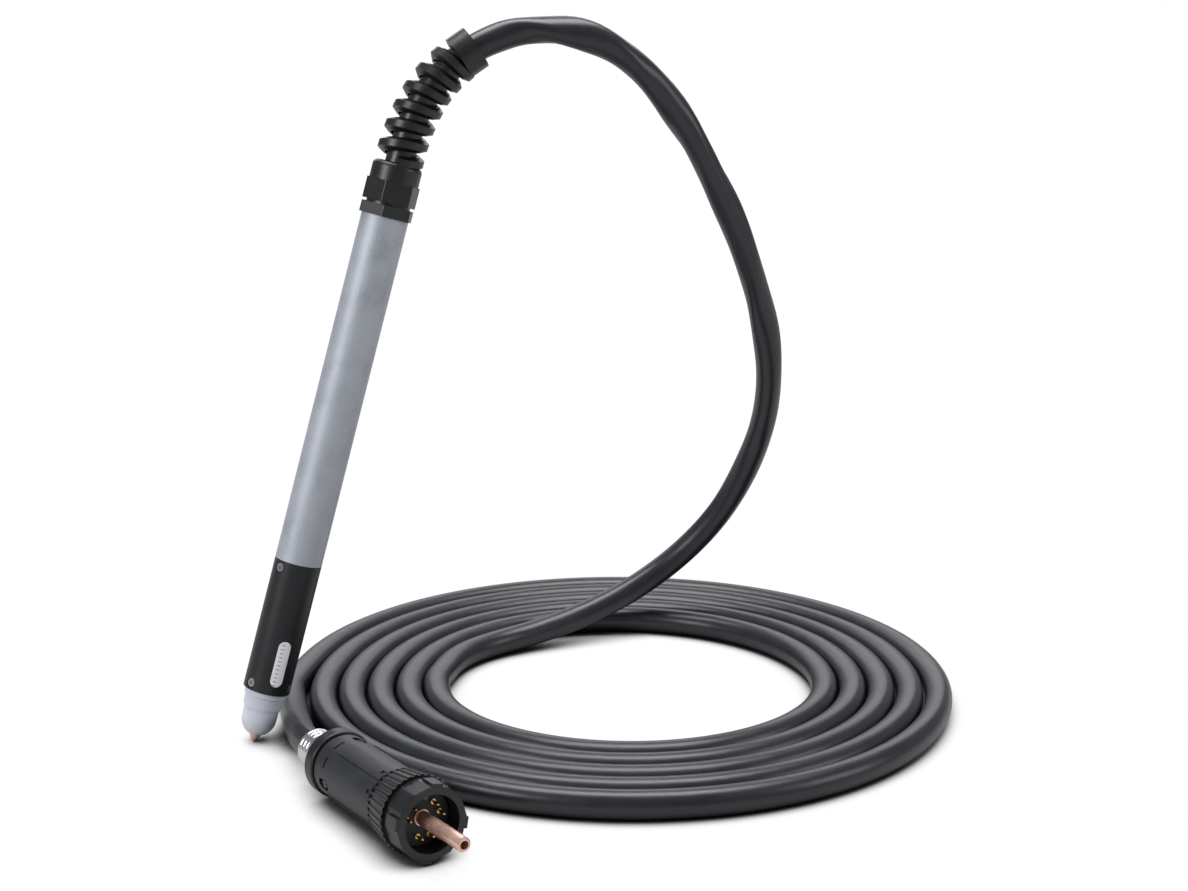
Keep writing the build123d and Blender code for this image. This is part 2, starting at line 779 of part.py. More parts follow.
# Strain ferrule: bright steel, pressed on the hose, with rounded ribs
rib_pitch = ferrule_length / ferrule_ribs
ferrule_radius = ferrule_diameter / 2
with BuildPart() as strain_ferrule:
    with BuildSketch(Plane.XY.offset(-ferrule_length)):
        Circle(ferrule_radius - rib_height)
        Circle(hose_radius + slip_gap, mode=Mode.SUBTRACT)
    extrude(amount=ferrule_length + cap_wall)
    with BuildSketch(Plane.XZ):
        for rib in range(ferrule_ribs):
            start = -ferrule_length + rib * rib_pitch
            with BuildLine():
                low_point = (ferrule_radius - rib_height, start)
                high_point = (ferrule_radius - rib_height, start + rib_pitch)
                ThreePointArc(low_point, (ferrule_radius, start + rib_pitch / 2), high_point)
                Line(low_point, high_point)
            make_face()
    revolve(axis=Axis.Z)
strain_ferrule.part.label = "strain_ferrule"

# Rear cap: the thick moulded ring round the ferrule
shell_rear = cap_length
shell_radius = shell_diameter / 2
shell_inner = shell_radius - shell_wall
with BuildPart() as plug_cap:
    with BuildSketch():
        Circle(shell_radius + cap_above_shell)
        Circle(ferrule_radius - rib_height + slip_gap, mode=Mode.SUBTRACT)
    extrude(amount=cap_length)
    with BuildSketch(Plane.XY.offset(cap_wall)):
        Circle(shell_inner)
    extrude(amount=cap_length - cap_wall, mode=Mode.SUBTRACT)
    rims = plug_cap.edges().filter_by(GeomType.CIRCLE).filter_by(lambda e: e.radius > shell_radius)
    fillet(rims, radius=1.5)
plug_cap.part.label = "plug_cap"

# Plug shell: moulded barrel with six raised panels, slots, three screw recesses, and the
# plain front barrel that the coupling nut turns on
shell_front = shell_rear + shell_length
barrel_end = insulator_face - insulator_flange
body_start = shell_rear + cap_groove_width
panel_positions = round(360 / panel_spacing)
recess_at = body_start + recess_from_cap
panel_reach = shell_radius + panel_height
recess_planes = radial_planes(shell_radius, recess_at, screw_count, first_recess)
with BuildPart() as plug_shell:
    with BuildSketch(Plane.XY.offset(shell_rear)):
        Circle(shell_radius - cap_groove_depth)
    extrude(amount=cap_groove_width)
    with BuildSketch(Plane.XY.offset(body_start)):
        Circle(shell_radius)
    extrude(amount=shell_front - body_start)
    with BuildSketch(Plane.XY.offset(shell_front)):
        Circle(barrel_diameter / 2)
    extrude(amount=barrel_end - shell_front)
    with BuildSketch(Plane.XY.offset(panel_start)):
        for position in range(panel_positions):
            if position % screw_count:
                start = first_recess + panel_spacing * position - panel_angle / 2
                with BuildLine():
                    outer = CenterArc((0, 0), panel_reach, start, panel_angle)
                    inner = CenterArc((0, 0), shell_inner, start, panel_angle)
                    Line(outer @ 0, inner @ 0)
                    Line(outer @ 1, inner @ 1)
                make_face()
    extrude(amount=panel_end - panel_start)
    with BuildSketch(Plane.XY.offset(shell_rear)):
        Circle(shell_inner)
    extrude(amount=shell_length - shell_wall, mode=Mode.SUBTRACT)
    with BuildSketch(Plane.XY.offset(shell_rear)):
        Circle(barrel_bore / 2)
    extrude(amount=barrel_end - shell_rear, mode=Mode.SUBTRACT)
    for position in range(panel_positions):
        if position % screw_count:
            angle = first_recess + panel_spacing * position
            slot_middle = body_start + slot_from_cap
            with BuildSketch(*radial_planes(shell_radius, slot_middle, 1, angle)):
                SlotOverall(slot_length, slot_width, rotation=90)
            extrude(amount=-slot_depth, mode=Mode.SUBTRACT)
            with BuildSketch(*radial_planes(panel_reach, panel_end - notch_length / 2, 1, angle)):
                Rectangle(notch_length, notch_width)
            extrude(amount=-panel_height, mode=Mode.SUBTRACT)
    with BuildSketch(*recess_planes):
        SlotOverall(recess_length, recess_width)
    extrude(amount=-recess_depth, mode=Mode.SUBTRACT)
    with BuildSketch(*recess_planes):
        Circle(shell_screw_diameter / 2)
    extrude(amount=-shell_wall * 2, mode=Mode.SUBTRACT)
    with BuildSketch(Plane.XY.offset(clip_at)):
        Circle(barrel_diameter / 2)
        Circle(barrel_diameter / 2 - clip_width, mode=Mode.SUBTRACT)
    extrude(amount=clip_width, mode=Mode.SUBTRACT)
plug_shell.part.label = "plug_shell"

# Shell screws: three, with round heads in the recesses, into the hose clamp
clamp_radius = hose_radius + clamp_thickness
recess_floor = shell_radius - recess_depth
screw_planes = radial_planes(recess_floor, recess_at, screw_count, first_recess)
with BuildPart() as shell_screws:
    with BuildSketch(*screw_planes):
        Circle(shell_screw_head / 2)
    extrude(amount=screw_head_height)
    with BuildSketch(*screw_planes):
        Circle(shell_screw_diameter / 2)
    extrude(amount=clamp_radius - recess_floor)
    top_planes = radial_planes(recess_floor + screw_head_height, recess_at, screw_count, first_recess)
    with BuildSketch(*top_planes):
        Rectangle(shell_screw_head, 0.8)
    extrude(amount=-screw_key_depth, mode=Mode.SUBTRACT)
shell_screws.part.label = "shell_screws"

# Hose clamp: a ring on the hose with three ears out to the shell, which the screws hold
with BuildPart() as hose_clamp:
    with BuildSketch(Plane.XY.offset(recess_at - clamp_length / 2)):
        with PolarLocations(shell_inner / 2, screw_count, start_angle=first_recess):
            Rectangle(shell_inner, clamp_ear_width)
        Circle(shell_inner, mode=Mode.INTERSECT)
        Circle(clamp_radius)
        Circle(hose_radius, mode=Mode.SUBTRACT)
    extrude(amount=clamp_length)
    with BuildSketch(*radial_planes(shell_inner, recess_at, screw_count, first_recess)):
        Circle(shell_screw_diameter / 2)
    extrude(amount=clamp_radius - shell_inner, mode=Mode.SUBTRACT)
hose_clamp.part.label = "hose_clamp"

# Nut retaining clip: an open ring in the groove of the front barrel
with BuildPart() as nut_clip:
    with BuildSketch(Plane.XY.offset(clip_at)):
        Circle(clip_diameter / 2)
        Circle(barrel_diameter / 2 - clip_width, mode=Mode.SUBTRACT)
        reach = clip_diameter * tan(radians(clip_gap_angle / 2))
        Polygon((0, 0), (clip_diameter, reach), (clip_diameter, -reach), align=None, mode=Mode.SUBTRACT)
    extrude(amount=clip_width)
nut_clip.part.label = "nut_clip"

# Coupling nut: fluted cone up to its rim, a groove, then the faceted front ring with four lugs
nut_rear = shell_front + running_gap
fluted_start = nut_rear + nut_rear_rim
cone_rear = nut_rear_diameter / 2
cone_front = nut_rim_diameter / 2
ring_start = nut_rim_at + nut_groove_width
clip_room = clip_diameter / 2 + 2 * running_gap
front_radius = nut_front_diameter / 2
with BuildPart() as coupling_nut:
    with BuildSketch(Plane.XZ):
        Polygon(
            (0, nut_rear),
            (cone_rear, nut_rear),
            (cone_rear, fluted_start),
            (cone_front, nut_rim_at),
            (nut_groove_diameter / 2, nut_rim_at),
            (nut_groove_diameter / 2, ring_start),
            (0, ring_start),
            align=None,
        )
    revolve(axis=Axis.Z)
    run = Vector(cone_front - cone_rear, 0, nut_rim_at - fluted_start)
    flute_out = flute_diameter / 2 - flute_depth
    flute_planes = []
    for flute in range(nut_flutes):
        angle = 360 / nut_flutes * (flute + 0.5)
        along = run.normalized().rotate(Axis.Z, angle)
        base = Vector(cone_rear + flute_out, 0, fluted_start).rotate(Axis.Z, angle)
        flute_planes.append(Plane(origin=base, z_dir=along))
    with BuildSketch(*flute_planes):
        Circle(flute_diameter / 2)
    extrude(amount=run.length, mode=Mode.SUBTRACT)
    with BuildSketch(Plane.XY.offset(ring_start)):
        Circle(front_radius)
        RegularPolygon(front_radius - facet_depth, nut_facets, major_radius=False, mode=Mode.INTERSECT)
    extrude(amount=nut_front - ring_start)
    chamfer(coupling_nut.edges().group_by(Axis.Z)[-1], length=edge_break)
    with BuildSketch(Plane.XY.offset(nut_front - edge_break - lug_length)):
        with PolarLocations(front_radius + lug_height - lug_width / 2, lug_count, lug_start_angle):
            Rectangle(lug_width, lug_width)
    extrude(amount=lug_length)
    with BuildSketch(Plane.XY.offset(nut_rear)):
        Circle(barrel_diameter / 2 + running_gap)
    extrude(amount=clip_at - running_gap - nut_rear, mode=Mode.SUBTRACT)
    with BuildSketch(Plane.XY.offset(clip_at - running_gap)):
        Circle(clip_room)
    extrude(amount=ring_start - clip_at + running_gap, mode=Mode.SUBTRACT)
    with BuildSketch(Plane.XY.offset(ring_start)):
        Circle(nut_mouth / 2)
    extrude(amount=nut_front - ring_start, mode=Mode.SUBTRACT)
coupling_nut.part.label = "coupling_nut"

# Insulator: black disc and boss in the front barrel, holding every contact
pin_places = [
    pin_pair_start + 360 / pin_pairs * pair + side * pin_pair_half_angle
    for pair in range(pin_pairs)
    for side in (-1, 1)
]
pin_spots = [
    (pin_circle / 2 * cos(radians(angle)), pin_circle / 2 * sin(radians(angle)))
    for angle in pin_places
]
post_spots = [
    (key_post_circle / 2 * cos(radians(angle)), key_post_circle / 2 * sin(radians(angle)))
    for angle in key_post_angles
]
with BuildPart() as insulator:
    with BuildSketch(Plane.XY.offset(insulator_rear)):
        Circle(barrel_bore / 2 - slip_gap)
    extrude(amount=barrel_end - insulator_rear)
    with BuildSketch(Plane.XY.offset(barrel_end)):
        Circle(insulator_diameter / 2)
    extrude(amount=insulator_flange)
    with BuildSketch(Plane.XY.offset(insulator_rear)):
        Circle(current_pin_shank / 2)
    extrude(amount=insulator_face - insulator_rear, mode=Mode.SUBTRACT)
    with BuildSketch(Plane.XY.offset(insulator_face - pin_depth)):
        with Locations(*pin_spots):
            Circle(pin_diameter / 2)
    extrude(amount=pin_depth, mode=Mode.SUBTRACT)
    with BuildSketch(Plane.XY.offset(insulator_face - pin_sleeve_depth)):
        with Locations(*pin_spots):
            Circle(pin_sleeve_diameter / 2)
    extrude(amount=pin_sleeve_depth, mode=Mode.SUBTRACT)
    with BuildSketch(Plane.XY.offset(insulator_face - key_post_depth)):
        with Locations(*post_spots):
            Circle(key_post_diameter / 2)
    extrude(amount=key_post_depth, mode=Mode.SUBTRACT)
insulator.part.label = "insulator"

# Contact pins: three pairs of slim pins with rounded ends
with BuildPart() as contact_pins:
    with BuildSketch(Plane.XY.offset(insulator_face - pin_depth)):
        with Locations(*pin_spots):
            Circle(pin_diameter / 2)
    extrude(amount=pin_depth + pin_proud)
    chamfer(contact_pins.edges().group_by(Axis.Z)[-1], length=pin_diameter / 4)
contact_pins.part.label = "contact_pins"

# Pin sleeves: short rings round the feet of the pins
with BuildPart() as pin_sleeves:
    with BuildSketch(Plane.XY.offset(insulator_face - pin_sleeve_depth)):
        with Locations(*pin_spots):
            Circle(pin_sleeve_diameter / 2)
            Circle(pin_diameter / 2, mode=Mode.SUBTRACT)
    extrude(amount=pin_sleeve_depth + pin_sleeve_proud)
pin_sleeves.part.label = "pin_sleeves"

# Key posts: two plain posts near the rim that let the plug go in one way only
with BuildPart() as key_posts:
    with BuildSketch(Plane.XY.offset(insulator_face - key_post_depth)):
        with Locations(*post_spots):
            Circle(key_post_diameter / 2)
    extrude(amount=key_post_depth + key_post_proud)
    chamfer(key_posts.edges().group_by(Axis.Z)[-1], length=edge_break)
key_posts.part.label = "key_posts"

# Current and gas pin: copper tube with a thicker shank in the insulator, and a collar and a
# nipple behind it
collar_rear = insulator_rear - current_pin_collar_length
with BuildPart() as current_pin:
    with BuildSketch(Plane.XY.offset(insulator_rear)):
        Circle(current_pin_shank / 2)
    extrude(amount=insulator_face - insulator_rear)
    with BuildSketch(Plane.XY.offset(insulator_face)):
        Circle(current_pin_diameter / 2)
    extrude(amount=current_pin_end - insulator_face)
    chamfer(current_pin.edges().group_by(Axis.Z)[-1], length=1)
    with BuildSketch(Plane.XY.offset(collar_rear)):
        Circle(current_pin_collar / 2)
    extrude(amount=current_pin_collar_length)
    with BuildSketch(Plane.XY.offset(collar_rear - current_pin_tail)):
        Circle(nipple_diameter / 2)
    extrude(amount=current_pin_tail)
    with BuildSketch(Plane.XY.offset(collar_rear - current_pin_tail)):
        Circle(current_pin_bore / 2)
    extrude(amount=current_pin_end - collar_rear + current_pin_tail, mode=Mode.SUBTRACT)
current_pin.part.label = "current_pin"

# Inner lead of the plug, from the end of the hose on to the nipple
with BuildPart() as plug_lead:
    with BuildSketch(Plane.XY.offset(plug_hose_end)):
        Circle(lead_diameter / 2)
        Circle(nipple_diameter / 2, mode=Mode.SUBTRACT)
    extrude(amount=collar_rear - plug_hose_end)
plug_lead.part.label = "plug_lead"

# Everything goes to its place; the whole is then moved so that the middle of the torch's
# own bounding box is at X = 0 and Y = 0
torch_pieces = [
    nozzle_tip,
    swirl_ring,
    electrode,
    emitter,
    outside_nozzle,
    head_body,
    head_o_ring,
    head_insert,
    power_lead,
    lead_crimp,
    pilot_wires,
    head_sleeve,
    sleeve_screws,
    label_plate,
    tube_joiner,
    torch_tube,
    gland_body,
    gland_seal,
    gland_nut,
]
plug_pieces = [
    strain_ferrule,
    plug_cap,
    plug_shell,
    shell_screws,
    hose_clamp,
    nut_clip,
    coupling_nut,
    insulator,
    contact_pins,
    pin_sleeves,
    key_posts,
    current_pin,
    plug_lead,
]
hose_pieces = [hose_arc, hose_coil, hose_tail]
for piece in torch_pieces:
    piece.part.move(torch_plane.location)
for piece in plug_pieces:
    piece.part.move(plug_plane.location)
torch_box = Compound([piece.part for piece in torch_pieces]).bounding_box()
torch_centre = torch_box.center()
shift = Location((-torch_centre.X, -torch_centre.Y, 0))
for piece in torch_pieces + plug_pieces + hose_pieces:
    piece.part.move(shift)

check_tube("hose_arc", arc_route, arc_radii, hose_arc.part)
check_tube("hose_tail", tail_route, tail_radii, hose_tail.part)
print("shift", [round(value, 3) for value in (-torch_centre.X, -torch_centre.Y)])

# STEP files
os.makedirs("parts", exist_ok=True)
export_step(nozzle_tip.part, "parts/nozzle_tip.step")
export_step(swirl_ring.part, "parts/swirl_ring.step")
export_step(electrode.part, "parts/electrode.step")
export_step(emitter.part, "parts/emitter.step")
export_step(outside_nozzle.part, "parts/outside_nozzle.step")
export_step(head_body.part, "parts/head_body.step")
export_step(head_o_ring.part, "parts/head_o_ring.step")
export_step(head_insert.part, "parts/head_insert.step")
export_step(power_lead.part, "parts/power_lead.step")
export_step(lead_crimp.part, "parts/lead_crimp.step")
export_step(pilot_wires.part, "parts/pilot_wires.step")
export_step(head_sleeve.part, "parts/head_sleeve.step")
export_step(sleeve_screws.part, "parts/sleeve_screws.step")
export_step(label_plate.part, "parts/label_plate.step")
export_step(tube_joiner.part, "parts/tube_joiner.step")
export_step(torch_tube.part, "parts/torch_tube.step")
export_step(gland_body.part, "parts/gland_body.step")
export_step(gland_seal.part, "parts/gland_seal.step")
export_step(gland_nut.part, "parts/gland_nut.step")
export_step(hose_arc.part, "parts/hose_arc.step")
export_step(hose_coil.part, "parts/hose_coil.step")
export_step(hose_tail.part, "parts/hose_tail.step")
export_step(strain_ferrule.part, "parts/strain_ferrule.step")
export_step(plug_cap.part, "parts/plug_cap.step")
export_step(plug_shell.part, "parts/plug_shell.step")
export_step(shell_screws.part, "parts/shell_screws.step")
export_step(hose_clamp.part, "parts/hose_clamp.step")
export_step(nut_clip.part, "parts/nut_clip.step")
export_step(coupling_nut.part, "parts/coupling_nut.step")
export_step(insulator.part, "parts/insulator.step")
export_step(contact_pins.part, "parts/contact_pins.step")
export_step(pin_sleeves.part, "parts/pin_sleeves.step")
export_step(key_posts.part, "parts/key_posts.step")
export_step(current_pin.part, "parts/current_pin.step")
export_step(plug_lead.part, "parts/plug_lead.step")
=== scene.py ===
import math

import bpy
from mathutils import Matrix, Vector


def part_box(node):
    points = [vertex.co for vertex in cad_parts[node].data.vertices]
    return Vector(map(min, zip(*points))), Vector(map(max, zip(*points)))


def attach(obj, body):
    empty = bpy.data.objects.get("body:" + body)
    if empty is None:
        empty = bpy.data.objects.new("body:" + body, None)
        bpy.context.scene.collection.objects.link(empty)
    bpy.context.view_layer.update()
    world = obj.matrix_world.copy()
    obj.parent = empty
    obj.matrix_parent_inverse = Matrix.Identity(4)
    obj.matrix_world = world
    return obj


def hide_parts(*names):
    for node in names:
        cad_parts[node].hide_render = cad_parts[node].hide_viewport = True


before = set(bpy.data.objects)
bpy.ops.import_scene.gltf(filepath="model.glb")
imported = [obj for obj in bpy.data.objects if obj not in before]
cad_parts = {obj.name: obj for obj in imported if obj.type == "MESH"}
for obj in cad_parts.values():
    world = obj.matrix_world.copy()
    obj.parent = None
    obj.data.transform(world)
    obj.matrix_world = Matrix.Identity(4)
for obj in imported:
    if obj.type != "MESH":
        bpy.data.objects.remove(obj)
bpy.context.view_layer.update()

# The view. One camera about 1.6 m in front of the spiral and half a metre up, looking
# a little down, with a long lens. The picture is 1188 by 891.
camera_data = bpy.data.cameras.new("view_camera")
camera_data.sensor_width = 36
camera_data.lens = 63.64
camera_data.clip_start = 0.05
camera_data.clip_end = 60
camera = bpy.data.objects.new("view_camera", camera_data)
camera.location = (0.16977, -1.5159, 0.5793)
camera.rotation_euler = (math.radians(90 - 13.402), 0, 0)
bpy.context.scene.collection.objects.link(camera)
bpy.context.scene.camera = camera

# Hose. A bundle of leads in one extruded black sheath, 21 mm across and about 7.6 m long.
# It runs from inside the gland over a free arch, round the spiral on the floor from the
# inner turn outwards, and into the plug. In the arch the sheath shows the twist of what it holds.
hose_diameter = 0.021
turn_pitch = 0.0222
turns = 5
points_a_turn = 16
inner_turn_radius = 0.147
coil_low, coil_high = (Vector(corner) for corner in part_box("hose_coil"))
coil_middle = (coil_low + coil_high) / 2 + Vector((turn_pitch / 4, -turn_pitch / 4, 0))
coil_middle.z = 0
torch_foot = Vector((-0.2785, -0.097, 0))
torch_lean = Vector((0.265, 0.135, 1))
torch_axis = torch_lean.normalized()
torch_start = torch_foot + (torch_lean - torch_axis) * 0.0026
arch_start = torch_start + torch_axis * 0.46625
plug_rear = Vector((-0.2045, -0.1987, 0.0254))
plug_axis = Vector((0.55, -0.835, 0.022)).normalized()

hose_route = [
    torch_start + torch_axis * 0.4193,
    arch_start,
    arch_start + Vector((0.019, 0.0057, 0.036)),
    arch_start + Vector((0.054, 0.0127, 0.0645)),
    arch_start + Vector((0.0985, 0.0227, 0.075)),
    arch_start + Vector((0.1445, 0.0337, 0.065)),
    Vector((0.0225, 0.0105, 0.4805)),
    Vector((0.0495, 0.024, 0.4405)),
    Vector((0.071, 0.038, 0.4)),
    Vector((0.09, 0.053, 0.358)),
    Vector((0.105, 0.069, 0.315)),
    Vector((0.116, 0.087, 0.272)),
    Vector((0.12, 0.107, 0.229)),
    Vector((0.116, 0.128, 0.187)),
    Vector((0.103, 0.146, 0.145)),
    Vector((0.082, 0.158, 0.104)),
    Vector((0.05, 0.162, 0.068)),
    Vector((0.01, 0.151, 0.041)),
    Vector((-0.031, 0.135, 0.024)),
    Vector((-0.071, 0.118, 0.014)),
    Vector((-0.105, 0.099, 0.0105)),
    Vector((-0.126, 0.077, 0.0105)),
    Vector((-0.139, 0.052, 0.0105)),
    Vector((-0.145, 0.025, 0.0105)),
]
for step in range(turns * points_a_turn + 1):
    turned = step / points_a_turn
    angle = math.pi + 2 * math.pi * turned
    radius = (inner_turn_radius + turn_pitch * turned) / 0.9809
    hose_route.append(Vector((radius * math.cos(angle), radius * math.sin(angle), 0.0105)))
hose_route += [
    Vector((-0.258, -0.034, 0.0105)),
    Vector((-0.2515, -0.067, 0.012)),
    Vector((-0.245, -0.1, 0.0155)),
    Vector((-0.238, -0.13, 0.0195)),
    plug_rear - plug_axis * 0.046,
    plug_rear + plug_axis * 0.024,
]
hose_route = [point + coil_middle for point in hose_route]

line_data = bpy.data.curves.new("hose_line", "CURVE")
line_data.dimensions = "3D"
line_data.resolution_u = 8
line_spline = line_data.splines.new("NURBS")
line_spline.points.add(len(hose_route) - 1)
for point, place in zip(line_spline.points, hose_route):
    point.co = (*place, 1)
line_spline.order_u = 3
line_spline.use_endpoint_u = True
line_object = bpy.data.objects.new("hose_line", line_data)
line_mesh = bpy.data.meshes.new_from_object(line_object)
hose_centres = [vertex.co.copy() for vertex in line_mesh.vertices]
bpy.data.objects.remove(line_object)

travelled = [0.0]
for before, after in zip(hose_centres, hose_centres[1:]):
    travelled.append(travelled[-1] + (after - before).length)

sides = 28
hose_vertices = []
hose_faces = []
across = Vector((0, 1, 0))
for index, centre in enumerate(hose_centres):
    ahead = hose_centres[min(index + 1, len(hose_centres) - 1)]
    behind = hose_centres[max(index - 1, 0)]
    forward = (ahead - behind).normalized()
    across = (across - forward * across.dot(forward)).normalized()
    upward = forward.cross(across)
    along = travelled[index]
    free = min(1, max(0, (along - 0.13) / 0.04)) * min(1, max(0, (0.8 - along) / 0.5))
    swell = 0.1 * free * (0.75 + 0.25 * math.sin(along * 41))
    wound = 38 * math.sqrt(along)
    for side in range(sides):
        angle = 2 * math.pi * side / sides
        twist = angle - wound
        reach = 1 + swell * (math.cos(2 * twist) + 0.3 * math.cos(4 * twist) + 0.3 * math.cos(3 * twist + along * 9))
        spoke = across * math.cos(angle) + upward * math.sin(angle)
        hose_vertices.append(centre + spoke * hose_diameter / 2 * reach)
rings = len(hose_centres)
for ring in range(rings - 1):
    for side in range(sides):
        beside = (side + 1) % sides
        hose_faces.append((
            ring * sides + side,
            ring * sides + beside,
            (ring + 1) * sides + beside,
            (ring + 1) * sides + side,
        ))
hose_faces.append(tuple(reversed(range(sides))))
hose_faces.append(tuple((rings - 1) * sides + side for side in range(sides)))
hose_mesh = bpy.data.meshes.new("hose")
hose_mesh.from_pydata(hose_vertices, [], hose_faces)
hose_mesh.shade_smooth()
hose = bpy.data.objects.new("hose", hose_mesh)
bpy.context.scene.collection.objects.link(hose)


def linear(hex_colour):
    """A colour written as sRGB hex, as the linear values that the shaders take."""
    parts = [int(hex_colour[place:place + 2], 16) / 255 for place in (1, 3, 5)]
    return [c / 12.92 if c <= 0.04045 else ((c + 0.055) / 1.055) ** 2.4 for c in parts] + [1]


def add_node(tree, kind, links=(), **settings):
    """Add a node; settings name its properties or sockets, links join its sockets to others."""
    node = tree.nodes.new(kind)
    for name, value in settings.items():
        if hasattr(node, name):
            setattr(node, name, value)
        else:
            node.inputs[name.replace("_", " ")].default_value = value
    for socket, source in dict(links).items():
        tree.links.new(source, node.inputs[socket])
    return node


def start_material(name):
    """A new material with its shader joined to the output."""
    material = bpy.data.materials.new(name)
    material.use_nodes = True
    material.node_tree.nodes.clear()
    shader = add_node(material.node_tree, "ShaderNodeBsdfPrincipled")
    add_node(material.node_tree, "ShaderNodeOutputMaterial", {"Surface": shader.outputs["BSDF"]})
    return material, material.node_tree, shader


# Extruded soft PVC over a rubber bundle: charcoal, with a wide soft highlight along its back.
# Handling leaves it a little duller in long patches, and the surface is very slightly rippled.
hose_sheath, tree, shader = start_material("extruded_pvc_sheath")
place = add_node(tree, "ShaderNodeTexCoord").outputs["Object"]
patches = add_node(tree, "ShaderNodeTexNoise", {"Vector": place}, Scale=28, Detail=3)
tint = add_node(tree, "ShaderNodeValToRGB", {"Fac": patches.outputs["Fac"]})
tint.color_ramp.elements[0].position = 0.35
tint.color_ramp.elements[0].color = linear("#1A1B21")
tint.color_ramp.elements[1].position = 0.7
tint.color_ramp.elements[1].color = linear("#24252C")
dulling = add_node(tree, "ShaderNodeMapRange", {"Value": patches.outputs["Fac"]}, To_Min=0.3, To_Max=0.39)
skin = add_node(tree, "ShaderNodeTexNoise", {"Vector": place}, Scale=900, Detail=2)
ripple = add_node(tree, "ShaderNodeTexNoise", {"Vector": place}, Scale=60, Detail=1)
fine = add_node(tree, "ShaderNodeBump", {"Height": skin.outputs["Fac"]}, Strength=0.05, Distance=0.0004)
relief = add_node(
    tree,
    "ShaderNodeBump",
    {"Height": ripple.outputs["Fac"], "Normal": fine.outputs["Normal"]},
    Strength=0.12,
    Distance=0.002,
)
tree.links.new(tint.outputs["Color"], shader.inputs["Base Color"])
tree.links.new(dulling.outputs["Result"], shader.inputs["Roughness"])
tree.links.new(relief.outputs["Normal"], shader.inputs["Normal"])
shader.inputs["IOR"].default_value = 1.52
hose_mesh.materials.append(hose_sheath)

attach(hose, "torch")
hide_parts("hose_arc", "hose_coil", "hose_tail")


def dress(node, material):
    """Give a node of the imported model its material."""
    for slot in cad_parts[node].material_slots:
        slot.link = "OBJECT"
        slot.material = material


# Nozzle tip and electrode, and the pin of the plug. All three are turned from copper bar and
# left bright: warm pink metal with fine rings round each piece's axis.
for name, axis, nodes in (
    ("turned_copper_torch", torch_axis, ("nozzle_tip", "electrode")),
    ("turned_copper_pin", plug_axis, ("current_pin",)),
):
    copper, tree, shader = start_material(name)
    place = add_node(tree, "ShaderNodeTexCoord").outputs["Object"]
    axial = add_node(tree, "ShaderNodeVectorMath", {0: place}, operation="DOT_PRODUCT")
    axial.inputs[1].default_value = axis
    rings_cut = add_node(tree, "ShaderNodeTexNoise", {"W": axial.outputs["Value"]}, noise_dimensions="1D", Scale=2600, Detail=1)
    tarnish = add_node(tree, "ShaderNodeTexNoise", {"Vector": place}, Scale=160, Detail=4)
    tint = add_node(tree, "ShaderNodeValToRGB", {"Fac": tarnish.outputs["Fac"]})
    tint.color_ramp.elements[0].position = 0.3
    tint.color_ramp.elements[0].color = linear("#ECB7A3")
    tint.color_ramp.elements[1].position = 0.72
    tint.color_ramp.elements[1].color = linear("#F8D2C3")
    gloss = add_node(tree, "ShaderNodeMapRange", {"Value": tarnish.outputs["Fac"]}, To_Min=0.22, To_Max=0.3)
    relief = add_node(tree, "ShaderNodeBump", {"Height": rings_cut.outputs["Fac"]}, Strength=0.15, Distance=0.0002)
    tree.links.new(tint.outputs["Color"], shader.inputs["Base Color"])
    tree.links.new(gloss.outputs["Result"], shader.inputs["Roughness"])
    tree.links.new(relief.outputs["Normal"], shader.inputs["Normal"])
    shader.inputs["Metallic"].default_value = 0.72
    for node in nodes:
        dress(node, copper)

# Emitter. A slug of hafnium pressed into the electrode's nose, dull grey with a light grain.
hafnium, tree, shader = start_material("pressed_hafnium")
place = add_node(tree, "ShaderNodeTexCoord").outputs["Object"]
grain = add_node(tree, "ShaderNodeTexNoise", {"Vector": place}, Scale=2200, Detail=3)
gloss = add_node(tree, "ShaderNodeMapRange", {"Value": grain.outputs["Fac"]}, To_Min=0.35, To_Max=0.5)
tree.links.new(gloss.outputs["Result"], shader.inputs["Roughness"])
shader.inputs["Base Color"].default_value = linear("#8F8F92")
shader.inputs["Metallic"].default_value = 1
dress("emitter", hafnium)

# Outside nozzle and the head body with its thin band. Both are moulded in a pale lilac grey
# high-temperature resin: smooth, slightly waxy, with the finest grain of the mould.
cup_resin, tree, shader = start_material("moulded_pale_resin")
place = add_node(tree, "ShaderNodeTexCoord").outputs["Object"]
cloud = add_node(tree, "ShaderNodeTexNoise", {"Vector": place}, Scale=70, Detail=3)
tint = add_node(tree, "ShaderNodeValToRGB", {"Fac": cloud.outputs["Fac"]})
tint.color_ramp.elements[0].position = 0.3
tint.color_ramp.elements[0].color = linear("#D2D5E2")
tint.color_ramp.elements[1].position = 0.75
tint.color_ramp.elements[1].color = linear("#DEE1EB")
grain = add_node(tree, "ShaderNodeTexNoise", {"Vector": place}, Scale=1800, Detail=2)
gloss = add_node(tree, "ShaderNodeMapRange", {"Value": cloud.outputs["Fac"]}, To_Min=0.38, To_Max=0.5)
relief = add_node(tree, "ShaderNodeBump", {"Height": grain.outputs["Fac"]}, Strength=0.08, Distance=0.0002)
tree.links.new(tint.outputs["Color"], shader.inputs["Base Color"])
tree.links.new(gloss.outputs["Result"], shader.inputs["Roughness"])
tree.links.new(relief.outputs["Normal"], shader.inputs["Normal"])
shader.inputs["IOR"].default_value = 1.5
for node in ("outside_nozzle", "head_body"):
    dress(node, cup_resin)

